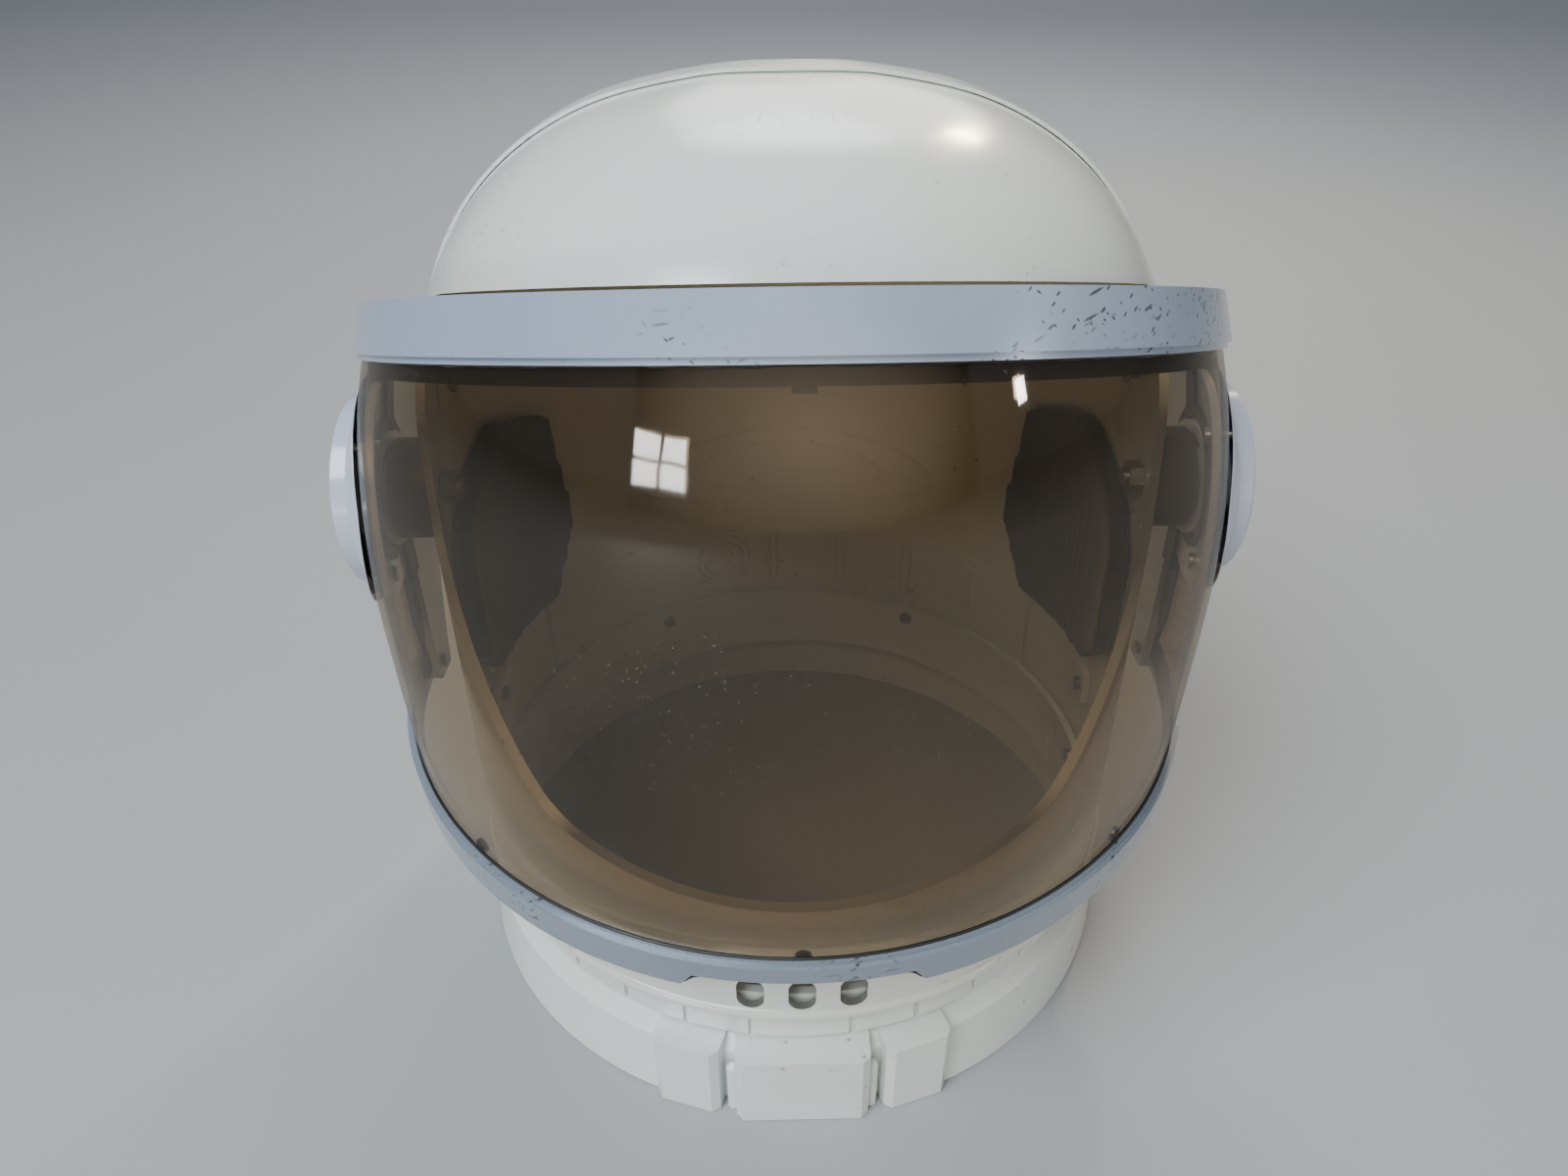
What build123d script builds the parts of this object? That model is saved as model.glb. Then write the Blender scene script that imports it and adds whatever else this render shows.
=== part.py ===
"""Astronaut helmet: a two-part head shell on a neck ring, with a lift-up visor on two ear pivots.

Millimetres. The origin is the centre of the neck ring on the surface that the helmet stands on,
+Z is up and the face looks towards -Y.
"""
from build123d import *
import math
import os

os.makedirs("parts", exist_ok=True)

# One overrun for every cut, and the clearance between pieces that touch
overrun = 5.0
fit_gap = 0.3
mould_gap = 0.2

# Head shell: a round wall with a full, flattened crown
shell_radius = 127.0
shell_wall = 3.0
shell_bottom = 48.0
shell_waist = 200.0
crown_height = 326.5
crown_fullness = 2.49
crown_points = 9
lip_proud = 1.6
lip_height = 5.0

# Face opening, seen from the side
brow_slope = 0.40
opening_brow_depth = 95.0
opening_brow_height = 297.0
opening_rear = -27.0
opening_sill_height = 95.0
opening_sill_reach = 146.0
opening_cheek_depth = 94.0
opening_cheek_height = 117.0
opening_temple_height = 205.0
opening_chin_radius = 30.0
opening_cheek_radius = 55.0
opening_temple_radius = 22.0

# Vent slots under the chin
slot_count = 3
slot_width = 9.4
slot_pitch = 17.6
slot_bottom = 53.6
slot_top = 68.5

# Seam between the shells: the rear shell's rim laps over the front shell
seam_depth = 12.0
seam_lap = 9.0
rim_proud = 1.4
rim_width = 13.0
tab_height = 14.0
tab_reach = 10.0
tab_root = 6.0

# Raised shapes on the back of the rear shell
belt_top = 97.0
belt_bottom = 57.0
belt_proud = 1.5
rib_bottom = 61.0
rib_height = 28.0
rib_width = 4.0
rib_proud = 3.0
rib_angle = 15.8
rib_count = 4
rib_start_angle = 183.0
boss_angle = 195.0
boss_height = 78.0
boss_radius = 13.0
boss_rim = 3.0
boss_proud = 3.2
almond_height = 128.0
almond_half_width = 68.0
almond_half_height = 19.0
almond_proud = 2.0
almond_step_share = 0.66

# Neck ring: flange, neck wall, cells and front blocks
ring_foot_radius = 131.5
ring_crease_radius = 128.5
ring_crease_height = 27.0
ring_top_height = 32.0
ring_bore_radius = 125.0
ring_bore_height = 25.0
neck_wall_radius = 122.5
neck_wall = 3.0
neck_top = 56.0
cell_proud = 1.6
cell_bottom = 34.5
cell_top = 45.5
cell_seam = 2.2
cell_front_angle = 16.4
cell_count = 31
block_face = 134.5
block_root = 121.0
block_height = 33.5
block_corner = 2.6
front_block_width = 47.5
side_block_width = 24.5
side_block_angle = 18.2
recess_radius = 127.5
recess_height = 29.0
recess_angle = 12.2
recess_width = 6.5
pillar_radius = 2.2
pillar_height = 22.0

# Ear pivots
pivot_depth = -15.0
pivot_height = 196.0
hub_inner = 138.0
hub_outer = 146.5
hub_radius = 20.0
spigot_radius = 8.0
spigot_running_gap = 0.06
bush_flange_radius = 17.5
friction_washer_radius = 11.0
friction_washer_thickness = 1.0
bolt_radius = 3.0
bolt_clearance = 0.25
bolt_head_radius = 5.5
bolt_head_height = 3.0
bolt_socket_radius = 2.0
bolt_socket_depth = 1.8
washer_radius = 12.0
washer_thickness = 1.5
nut_width = 10.0
nut_thickness = 5.0
nut_gap = 1.0
bolt_tip = 1.5
stop_radius = 14.3
stop_pin_radius = 2.3
stop_slot_gap = 0.35
stop_pin_angle = 90.0
visor_lift_angle = 60.0

# Visor surface: half widths and half depths at heights up the visor
visor_half_width = 149.0
visor_half_depth = 149.5
visor_height = 250.0
visor_base = 62.0
visor_height_shares = (0.0, 0.14, 0.336, 0.536, 0.656, 0.776, 0.896, 1.0)
visor_width_shares = (0.980, 0.993, 1.000, 0.997, 0.970, 0.915, 0.850, 0.785)
visor_depth_shares = (0.920, 0.940, 0.985, 1.000, 0.985, 0.950, 0.893, 0.825)

# Lens
lens_wall = 2.0
lens_rear = 2.0
lens_notch_radius = 36.0
lens_brow_margin = 4.0
lens_chin_margin = 8.0

# Brow bar
bar_proud = 3.0
bar_lip_proud = 1.5
brow_bar_front = 134.0
brow_bar_low = 294.5
brow_bar_height = 16.0
brow_lip_height = 2.0
brow_bar_rear = 12.0

# Chin bar
chin_bar_front = 140.0
chin_bar_high = 97.5
chin_bar_height = 16.0
chin_bar_slope = 0.09
chin_lip_height = 2.0
chin_bar_rear = 12.0
notch_half_width = 35.5
notch_depth = 6.3
notch_bevel = 4.0

# Black liner behind the lens's upper and side edges
liner_wall = 1.2
liner_drop = 7.5
liner_margin = 5.0
liner_leg_front = -7.5
liner_leg_rear = 1.5
liner_corner_radius = 10.0
liner_foot_height = 114.0
liner_tip_height = 130.0
liner_nib_width = 6.0
liner_nib_height = 2.5
bridge_half_height = 44.0
bridge_ring_radius = 25.0
bridge_inner_radius = 21.0

# Side plates
plate_wall = 3.0
plate_knee_rear = 36.0
plate_end_rear = 14.0
plate_disc_radius = 38.0
plate_knee_radius = 14.0
plate_margin = 3.0

# Ear pods, from the rim outwards
pod_radius = 42.5
pod_step_radius = 40.3
pod_step_height = 152.0
pod_base_face = 154.0
pod_bore_radius = 24.0
pod_seat_radius = 35.4
pod_cap_radius = 37.8
pod_cap_step_radius = 34.6
pod_cap_step_height = 157.2
pod_cap_face = 160.0
pod_cap_edge = 1.6
pod_cap_wall = 2.5
pod_spigot_wall = 2.0
pod_spigot_depth = 3.0

# Temple pads: outline seen from the side, front to back
pad_wall = 8.0
pad_outline_y = (-24.0, 2.0, 35.0, 63.0, 69.0, 56.0, 1.0, -22.0)
pad_outline_z = (168.0, 184.0, 196.0, 186.0, 131.0, 99.0, 103.0, 125.0)
pad_corner = 6.0

# Small screws: a clearance hole in the outer of two pieces, a pilot hole in the other
screw_radius = 1.5
screw_clearance = 0.15
screw_head_radius = 2.8
screw_head_height = 1.6
ring_screw_height = 50.5
ring_screw_count = 6
ring_screw_bite = 3.0
seam_screw_heights = (85.0, 225.0)
seam_screw_depth = 7.0
seam_screw_bite = 2.0
seam_seat_radii = (120.4, 119.3)
frame_screw_angle = 93.0
pod_screw_angles = (0.0, 125.0, 235.0)
pod_screw_circle = 30.0
pod_screw_bite = 4.0
lens_screw_angles = (-50.0, 0.0, 50.0)
chin_screw_drop = 4.0
bar_screw_bite = 2.2
seat_passes = 4


def shell_section(inset):
    """Radius and height of points from the waist to the crown, a set distance inside the outer skin."""
    radius = shell_radius - inset
    rise = crown_height - shell_waist - inset
    points = []
    for step in range(crown_points + 1):
        turn = math.pi / 2 * step / crown_points
        across = radius * math.cos(turn) ** (2 / crown_fullness)
        up = shell_waist + rise * math.sin(turn) ** (2 / crown_fullness)
        points.append((across, up))
    points[-1] = (0, crown_height - inset)
    return points


def dome(inset, bottom):
    """Solid of revolution inside the shell's skin moved in by inset, from bottom up to the crown."""
    points = shell_section(inset)
    with BuildPart() as body:
        with BuildSketch(Plane.XZ):
            with BuildLine():
                Spline(points, tangents=((0, 1), (-1, 0)))
                Polyline(points[-1], (0, bottom), (points[0][0], bottom), points[0])
            make_face()
        revolve(axis=Axis.Z)
    return body.part


def visor_body(offset):
    """Solid inside the visor's outer surface, moved outward by offset."""
    with BuildPart() as body:
        for rise, width, depth in zip(visor_height_shares, visor_width_shares, visor_depth_shares):
            with BuildSketch(Plane.XY.offset(visor_base + visor_height * rise)):
                Ellipse(visor_half_width * width + offset, visor_half_depth * depth + offset)
        loft()
    return body.part


def tilted_plane(front, height, slope):
    """Plane through the point (0, -front, height) that falls by slope towards the back."""
    return Plane(origin=(0, -front, height), x_dir=(1, 0, 0), z_dir=(0, slope, 1))


def side_plane(across):
    """Plane square to the pivots' axis, with its origin on the axis."""
    return Plane(origin=(across, pivot_depth, pivot_height), x_dir=(0, 1, 0), z_dir=(1, 0, 0))


def radial_plane(angle, radius, height):
    """Plane square to a radius of the helmet, with the angle counted from the front."""
    turn = math.radians(angle)
    outward = (math.sin(turn), -math.cos(turn), 0)
    return Plane(origin=(radius * outward[0], radius * outward[1], height), x_dir=(math.cos(turn), math.sin(turn), 0),
                 z_dir=outward)


def screw(seat, length):
    """Screw with its head's underside on a plane, its shaft along the plane's normal."""
    with BuildPart() as body:
        with BuildSketch(seat):
            Circle(screw_head_radius)
        extrude(amount=-screw_head_height)
        with BuildSketch(seat):
            Circle(screw_radius)
        extrude(amount=length)
    return body.part


def screw_hole(seat, length):
    """Hole for the shaft of a screw, from before its seat to a set length beyond it."""
    with BuildPart() as body:
        with BuildSketch(seat.offset(-screw_head_height)):
            Circle(screw_radius + screw_clearance)
        extrude(amount=length + screw_head_height)
    return body.part


# Finished outlines that several pieces share
outer_skin = dome(0, shell_bottom)
inner_skin = dome(shell_wall, shell_bottom - overrun)
visor_outer = visor_body(0)
visor_under_bar = visor_body(fit_gap)
visor_bar_face = visor_body(bar_proud)
visor_lip_face = visor_body(bar_lip_proud)
visor_lens_back = visor_body(-lens_wall)
visor_plate_face = visor_body(-lens_wall - mould_gap)
visor_plate_back = visor_body(-lens_wall - mould_gap - plate_wall)
liner_back = visor_body(-lens_wall - mould_gap - liner_wall)
bridge_face = visor_body(-lens_wall - mould_gap - plate_wall - fit_gap)
bridge_back = visor_body(-lens_wall - mould_gap - plate_wall - fit_gap - liner_wall)
pod_seat = visor_body(-lens_wall - mould_gap + fit_gap)
plate_seat = lens_wall + mould_gap + plate_wall + fit_gap
liner_seat = lens_wall + mould_gap + liner_wall + fit_gap
lens_seat = lens_wall + fit_gap

reach = visor_half_depth + 4 * overrun
brow_top_plane = tilted_plane(brow_bar_front, brow_bar_low + brow_bar_height, brow_slope)
brow_low_plane = tilted_plane(brow_bar_front, brow_bar_low, brow_slope)
brow_lip_plane = tilted_plane(brow_bar_front, brow_bar_low - brow_lip_height, brow_slope)
liner_low_plane = tilted_plane(brow_bar_front, brow_bar_low - liner_drop, brow_slope)
chin_top_plane = tilted_plane(chin_bar_front, chin_bar_high, -chin_bar_slope)
chin_lip_plane = tilted_plane(chin_bar_front, chin_bar_high - chin_lip_height, -chin_bar_slope)
chin_low_plane = tilted_plane(chin_bar_front, chin_bar_high - chin_bar_height, -chin_bar_slope)


def visor_plane(angle, height):
    """Plane on the visor's outer surface and square to it, at an angle from the front and a height."""
    turn = math.radians(angle)
    outward = Vector(math.sin(turn), -math.cos(turn), 0)
    hits = visor_outer.find_intersection_points(Axis((0, 0, height), outward))
    point, normal = max(hits, key=lambda hit: hit[0].dot(outward))
    return Plane(origin=point, x_dir=(math.cos(turn), math.sin(turn), 0), z_dir=normal)


def brow_height(depth):
    """Height of the brow bar's lower edge at a depth behind the helmet's axis."""
    return brow_bar_low - brow_slope * (brow_bar_front + depth)


def chin_height(depth):
    """Height of the chin bar's upper edge at a depth behind the helmet's axis."""
    return chin_bar_high + chin_bar_slope * (chin_bar_front + depth)


def bar_plane(angle, edge_height, rise):
    """Plane on the visor's surface, a set rise above the edge line of a bar."""
    depth = -visor_half_depth * math.cos(math.radians(angle))
    for _ in range(seat_passes):
        spot = visor_plane(angle, edge_height(depth) + rise)
        depth = spot.origin.Y
    return spot


def disc_plane(angle, body):
    """Plane on the inner side of the left pivot disc, on the circle of the pod's screws."""
    turn = math.radians(angle)
    spot = (0, pivot_depth + pod_screw_circle * math.cos(turn), pivot_height + pod_screw_circle * math.sin(turn))
    hits = body.find_intersection_points(Axis(spot, (1, 0, 0)))
    point, normal = max(hits, key=lambda hit: hit[0].X)
    return Plane(origin=point, z_dir=normal)


def screws(seats, length):
    """Screws of one kind as one part."""
    with BuildPart() as body:
        for seat in seats:
            add(screw(seat, length))
    return body.part


def holes(seats, length):
    """Holes for screws of one kind as one part."""
    with BuildPart() as body:
        for seat in seats:
            add(screw_hole(seat, length + fit_gap))
    return body.part


# Seats of the screws, each just clear of the face that its head bears on
ring_step = 360 / ring_screw_count
ring_seats = [radial_plane(ring_step * (turn + 1 / 2), neck_wall_radius - neck_wall - fit_gap, ring_screw_height)
              for turn in range(ring_screw_count)]
ring_screw_length = neck_wall + fit_gap + shell_radius - shell_wall - neck_wall_radius + ring_screw_bite

seam_seats = []
for height, wall_radius in zip(seam_screw_heights, seam_seat_radii):
    across = math.sqrt(wall_radius ** 2 - seam_screw_depth ** 2)
    for side in (-1, 1):
        seam_seats.append(Plane(origin=(side * across, seam_screw_depth, height), z_dir=(side, 0, 0)))
seam_screw_length = shell_wall + 2 * fit_gap + seam_screw_bite

frame_seats = []
for angle in (-frame_screw_angle, frame_screw_angle):
    frame_seats.append(bar_plane(angle, brow_height, brow_bar_height / 2).offset(-plate_seat))
    frame_seats.append(bar_plane(angle, chin_height, -chin_bar_height / 2).offset(-plate_seat))
frame_screw_length = plate_seat + bar_screw_bite

brow_seats = [bar_plane(angle, brow_height, brow_bar_height / 2).offset(-liner_seat) for angle in lens_screw_angles]
chin_seats = [bar_plane(angle, chin_height, -chin_screw_drop).offset(-lens_seat) for angle in lens_screw_angles]
brow_screw_length = liner_seat + bar_screw_bite
chin_screw_length = lens_seat + bar_screw_bite

pod_seats = [disc_plane(angle, visor_plate_back).offset(-fit_gap) for angle in pod_screw_angles]
pod_screw_length = plate_wall + 2 * fit_gap + pod_screw_bite

ring_holes = holes(ring_seats, ring_screw_length)
seam_holes = holes(seam_seats, seam_screw_length)
frame_holes = holes(frame_seats, frame_screw_length)
brow_holes = holes(brow_seats, brow_screw_length)
chin_holes = holes(chin_seats, chin_screw_length)
pod_holes = holes(pod_seats, pod_screw_length)

# Shell with its bottom lip, open at the neck
with BuildPart() as hollow_shell:
    add(outer_skin)
    with BuildSketch(Plane.XZ):
        with BuildLine():
            Polyline((0, shell_bottom), (shell_radius, shell_bottom))
            ThreePointArc((shell_radius, shell_bottom), (shell_radius + lip_proud, shell_bottom + lip_height / 2),
                          (shell_radius, shell_bottom + lip_height))
            Polyline((shell_radius, shell_bottom + lip_height), (0, shell_bottom + lip_height), (0, shell_bottom))
        make_face()
    revolve(axis=Axis.Z)
    add(inner_skin, mode=Mode.SUBTRACT)

# Front shell: face opening, vent slots and the holes for the pivots
with BuildPart() as front_shell:
    add(hollow_shell.part)
    split(bisect_by=Plane.XZ.offset(-seam_depth), keep=Keep.TOP)
    with BuildSketch(Plane.YZ):
        with BuildLine():
            sill = (-opening_sill_reach, opening_sill_height)
            cheek = (-opening_cheek_depth, opening_cheek_height)
            temple = (opening_rear, opening_temple_height)
            brow = (opening_rear, opening_brow_height - brow_slope * (opening_brow_depth + opening_rear))
            front_height = opening_brow_height + brow_slope * (opening_sill_reach - opening_brow_depth)
            front = (-opening_sill_reach, front_height)
            FilletPolyline(sill, cheek, temple, brow, front,
                           radius=(0, opening_chin_radius, opening_cheek_radius, opening_temple_radius, 0),
                           close=True)
        make_face()
    extrude(amount=reach, both=True, mode=Mode.SUBTRACT)
    with BuildSketch(Plane.XZ):
        with Locations((0, (slot_bottom + slot_top) / 2)):
            with GridLocations(slot_pitch, 0, slot_count, 1):
                SlotOverall(slot_top - slot_bottom, slot_width, rotation=90)
    extrude(amount=reach, mode=Mode.SUBTRACT)
    with BuildSketch(side_plane(-reach)):
        Circle(bolt_radius + bolt_clearance)
    extrude(amount=2 * reach, mode=Mode.SUBTRACT)
    add(ring_holes, mode=Mode.SUBTRACT)
    add(seam_holes, mode=Mode.SUBTRACT)
front_shell.part.label = "front_shell"

# Rear shell: its front rim and inner tabs lap over the front shell, and the back carries the raised shapes
rim_skin = dome(-rim_proud, shell_bottom)
lap_skin = dome(-fit_gap, shell_bottom - overrun)
tab_face = dome(shell_wall + fit_gap, shell_bottom - overrun)
tab_back = dome(2 * shell_wall + fit_gap, shell_bottom - overrun)
almond_skin = dome(-almond_proud, shell_bottom)
almond_step_skin = dome(-2 * almond_proud, shell_bottom)
front_half = Plane.XZ.offset(-seam_depth - mould_gap)

with BuildPart() as lap_space:
    add(lap_skin)
    add(tab_face, mode=Mode.SUBTRACT)
    split(bisect_by=front_half, keep=Keep.TOP)

with BuildPart() as rim_band:
    add(rim_skin)
    add(inner_skin, mode=Mode.SUBTRACT)
    split(bisect_by=Plane.XZ.offset(seam_lap - seam_depth), keep=Keep.BOTTOM)
    split(bisect_by=Plane.XZ.offset(seam_lap - seam_depth - rim_width), keep=Keep.TOP)
    split(bisect_by=Plane.XY.offset(shell_bottom + lip_height + fit_gap), keep=Keep.TOP)

with BuildPart() as seam_tabs:
    for height in seam_screw_heights:
        with Locations((0, seam_depth + tab_root, height)):
            Box(2 * shell_radius, tab_root + tab_reach, tab_height, align=(Align.CENTER, Align.MAX, Align.CENTER))
    add(outer_skin, mode=Mode.INTERSECT)
    add(tab_back, mode=Mode.SUBTRACT)

with BuildPart() as belt:
    with BuildSketch(Plane.XZ):
        with Locations((shell_radius, (belt_bottom + belt_top) / 2)):
            Rectangle(2 * belt_proud, belt_top - belt_bottom)
    revolve(axis=Axis.Z)
    for rib in range(rib_count):
        spot = radial_plane(rib_start_angle - rib * rib_angle, shell_radius, rib_bottom + rib_height / 2)
        with BuildSketch(spot):
            SlotOverall(rib_height, rib_width, rotation=90)
        extrude(amount=rib_proud)
    with BuildSketch(radial_plane(boss_angle, shell_radius - belt_proud, boss_height)):
        Circle(boss_radius)
    extrude(amount=belt_proud + boss_proud)
    with BuildSketch(radial_plane(boss_angle, shell_radius + boss_proud, boss_height)):
        Circle(boss_radius - boss_rim)
    extrude(amount=-boss_proud / 2, mode=Mode.SUBTRACT)
    split(bisect_by=Plane.XZ.offset(seam_lap - seam_depth - rim_width), keep=Keep.BOTTOM)


def almond(skin, share):
    """Lens-shaped panel on the back, raised to the given skin."""
    half_width = almond_half_width * share
    half_height = almond_half_height * share
    with BuildPart() as panel:
        with BuildSketch(Plane.XZ.offset(-seam_depth - overrun)):
            with BuildLine():
                ThreePointArc((-half_width, almond_height), (0, almond_height + half_height),
                              (half_width, almond_height))
                ThreePointArc((half_width, almond_height), (0, almond_height - half_height),
                              (-half_width, almond_height))
            make_face()
        extrude(amount=-reach)
        add(skin, mode=Mode.INTERSECT)
    return panel.part


with BuildPart() as rear_shell:
    add(hollow_shell.part)
    split(bisect_by=front_half, keep=Keep.BOTTOM)
    add(rim_band.part)
    add(belt.part)
    add(almond(almond_skin, 1))
    add(almond(almond_step_skin, almond_step_share))
    add(inner_skin, mode=Mode.SUBTRACT)
    add(seam_tabs.part)
    add(lap_space.part, mode=Mode.SUBTRACT)
    add(ring_holes, mode=Mode.SUBTRACT)
    add(seam_holes, mode=Mode.SUBTRACT)
rear_shell.part.label = "rear_shell"


# Neck ring: flared foot, recesses and pillars, blocks, neck wall with its cells, and the bore
with BuildPart() as neck_ring:
    with BuildSketch(Plane.XZ):
        with BuildLine():
            Polyline((0, 0), (ring_foot_radius, 0), (ring_crease_radius, ring_crease_height),
                     (neck_wall_radius, ring_top_height), (neck_wall_radius, cell_bottom),
                     (neck_wall_radius + cell_proud, cell_bottom), (neck_wall_radius + cell_proud, cell_top),
                     (neck_wall_radius, cell_top), (neck_wall_radius, neck_top), (0, neck_top), (0, 0))
        make_face()
    revolve(axis=Axis.Z)
    cell_angle = (360 - cell_front_angle) / cell_count
    seam_angles = [cell_front_angle / 2 + cell * cell_angle for cell in range(cell_count + 1)]
    with Locations(*[radial_plane(angle, neck_wall_radius, cell_bottom) for angle in seam_angles]):
        Box(cell_seam, cell_top - cell_bottom, overrun, align=(Align.CENTER, Align.MIN, Align.MIN),
            mode=Mode.SUBTRACT)
    with Locations(*[radial_plane(side * recess_angle, recess_radius, 0) for side in (-1, 1)]):
        Box(recess_width, 2 * recess_height, 2 * overrun, mode=Mode.SUBTRACT,
            align=(Align.CENTER, Align.CENTER, Align.MIN))
    for angle, width in ((0, front_block_width), (-side_block_angle, side_block_width),
                         (side_block_angle, side_block_width)):
        turn = math.radians(angle)
        half = width / 2
        with BuildSketch(Plane(origin=(0, 0, 0), x_dir=(math.cos(turn), math.sin(turn), 0))):
            with BuildLine():
                Polyline((-half, -block_root), (-half, block_corner - block_face), (block_corner - half, -block_face),
                         (half - block_corner, -block_face), (half, block_corner - block_face),
                         (half, -block_root), (-half, -block_root))
            make_face()
        extrude(amount=block_height)
    for side in (-1, 1):
        with Locations((side * (front_block_width / 2 + pillar_radius / 2), -recess_radius, 0)):
            Cylinder(pillar_radius, pillar_height, align=(Align.CENTER, Align.CENTER, Align.MIN))
        with Locations((side * (front_block_width / 2 + pillar_radius / 2), -recess_radius, pillar_height)):
            Sphere(pillar_radius)
    with Locations((0, 0, -overrun)):
        Cylinder(ring_bore_radius, ring_bore_height + overrun, align=(Align.CENTER, Align.CENTER, Align.MIN),
                 mode=Mode.SUBTRACT)
        Cylinder(neck_wall_radius - neck_wall, neck_top + 2 * overrun, mode=Mode.SUBTRACT,
                 align=(Align.CENTER, Align.CENTER, Align.MIN))
    add(ring_holes, mode=Mode.SUBTRACT)
neck_ring.part.label = "neck_ring"

# Temple pads against the inner side walls
pad_face = dome(shell_wall + fit_gap, shell_bottom)
pad_back = dome(shell_wall + fit_gap + pad_wall, shell_bottom)
with BuildPart() as temple_pad_left:
    with BuildSketch(Plane.YZ):
        with BuildLine():
            FilletPolyline(*zip(pad_outline_y, pad_outline_z), radius=pad_corner, close=True)
        make_face()
    extrude(amount=reach)
    add(pad_face, mode=Mode.INTERSECT)
    add(pad_back, mode=Mode.SUBTRACT)
temple_pad_left.part.label = "temple_pad_left"

with BuildPart() as temple_pad_right:
    add(mirror(temple_pad_left.part, about=Plane.YZ))
temple_pad_right.part.label = "temple_pad_right"

# Pivot bushes: flange on the front shell, spigot in the hub's bore, pin in the hub's stop slot
flange_face = hub_inner - friction_washer_thickness - 2 * fit_gap
spigot_face = hub_outer + fit_gap
washer_face = spigot_face + fit_gap
bolt_seat = washer_face + washer_thickness + fit_gap
flange_back = shell_radius - 2 * overrun
nut_face = shell_radius - shell_wall - 2 * nut_gap

with BuildPart() as pivot_bush_left:
    with BuildSketch(side_plane(flange_back)):
        Circle(bush_flange_radius)
    extrude(amount=flange_face - flange_back)
    with BuildSketch(side_plane(flange_face)):
        Circle(spigot_radius)
    extrude(amount=spigot_face - flange_face)
    with BuildSketch(side_plane(flange_face)):
        with PolarLocations(stop_radius, 1, start_angle=stop_pin_angle):
            Circle(stop_pin_radius)
    extrude(amount=hub_outer - flange_face - stop_slot_gap)
    with BuildSketch(side_plane(flange_back)):
        Circle(bolt_radius + bolt_clearance)
    extrude(amount=spigot_face - flange_back + overrun, mode=Mode.SUBTRACT)
    add(lap_skin, mode=Mode.SUBTRACT)
pivot_bush_left.part.label = "pivot_bush_left"

with BuildPart() as pivot_bush_right:
    add(mirror(pivot_bush_left.part, about=Plane.YZ))
pivot_bush_right.part.label = "pivot_bush_right"

with BuildPart() as friction_washers:
    with BuildSketch(side_plane(flange_face + fit_gap)):
        Circle(friction_washer_radius)
        Circle(spigot_radius + screw_clearance, mode=Mode.SUBTRACT)
    extrude(amount=friction_washer_thickness)
    mirror(about=Plane.YZ)
friction_washers.part.label = "friction_washers"

with BuildPart() as pivot_washers:
    with BuildSketch(side_plane(washer_face)):
        Circle(washer_radius)
        Circle(bolt_radius + bolt_clearance, mode=Mode.SUBTRACT)
    extrude(amount=washer_thickness)
    mirror(about=Plane.YZ)
pivot_washers.part.label = "pivot_washers"

with BuildPart() as pivot_bolts:
    with BuildSketch(side_plane(bolt_seat)):
        Circle(bolt_head_radius)
    extrude(amount=bolt_head_height)
    with BuildSketch(side_plane(bolt_seat + bolt_head_height)):
        RegularPolygon(bolt_socket_radius, 6)
    extrude(amount=-bolt_socket_depth, mode=Mode.SUBTRACT)
    with BuildSketch(side_plane(bolt_seat)):
        Circle(bolt_radius)
    extrude(amount=nut_face - nut_thickness - bolt_tip - bolt_seat)
    mirror(about=Plane.YZ)
pivot_bolts.part.label = "pivot_bolts"

with BuildPart() as pivot_nuts:
    with BuildSketch(side_plane(nut_face)):
        RegularPolygon(nut_width / 2, 6, major_radius=False)
        Circle(bolt_radius + screw_clearance, mode=Mode.SUBTRACT)
    extrude(amount=-nut_thickness)
    mirror(about=Plane.YZ)
pivot_nuts.part.label = "pivot_nuts"

ring_screws = screws(ring_seats, ring_screw_length)
ring_screws.label = "ring_screws"
seam_screws = screws(seam_seats, seam_screw_length)
seam_screws.label = "seam_screws"

# Lens: a curved sheet from ear to ear, notched round the pivots
with BuildPart() as visor_lens:
    add(visor_outer)
    add(visor_lens_back, mode=Mode.SUBTRACT)
    split(bisect_by=Plane.XZ.offset(-lens_rear), keep=Keep.TOP)
    split(bisect_by=brow_top_plane.offset(-lens_brow_margin), keep=Keep.BOTTOM)
    split(bisect_by=chin_low_plane.offset(lens_chin_margin), keep=Keep.TOP)
    with BuildSketch(side_plane(-reach)):
        Circle(lens_notch_radius)
    extrude(amount=2 * reach, mode=Mode.SUBTRACT)
    add(brow_holes, mode=Mode.SUBTRACT)
    add(chin_holes, mode=Mode.SUBTRACT)
visor_lens.part.label = "visor_lens"

# Brow bar with its lower lip
with BuildPart() as brow_lip:
    add(visor_lip_face)
    split(bisect_by=brow_low_plane, keep=Keep.BOTTOM)
    split(bisect_by=brow_lip_plane, keep=Keep.TOP)

with BuildPart() as brow_bar:
    add(visor_bar_face)
    split(bisect_by=brow_top_plane, keep=Keep.BOTTOM)
    split(bisect_by=brow_low_plane, keep=Keep.TOP)
    add(brow_lip.part)
    add(visor_under_bar, mode=Mode.SUBTRACT)
    split(bisect_by=Plane.XZ.offset(-brow_bar_rear), keep=Keep.TOP)
    add(brow_holes, mode=Mode.SUBTRACT)
    add(frame_holes, mode=Mode.SUBTRACT)
brow_bar.part.label = "brow_bar"

# Chin bar with its upper bead and the notch over the vent slots
with BuildPart() as chin_bead:
    add(visor_lip_face)
    split(bisect_by=chin_top_plane, keep=Keep.BOTTOM)
    split(bisect_by=chin_lip_plane, keep=Keep.TOP)

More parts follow.
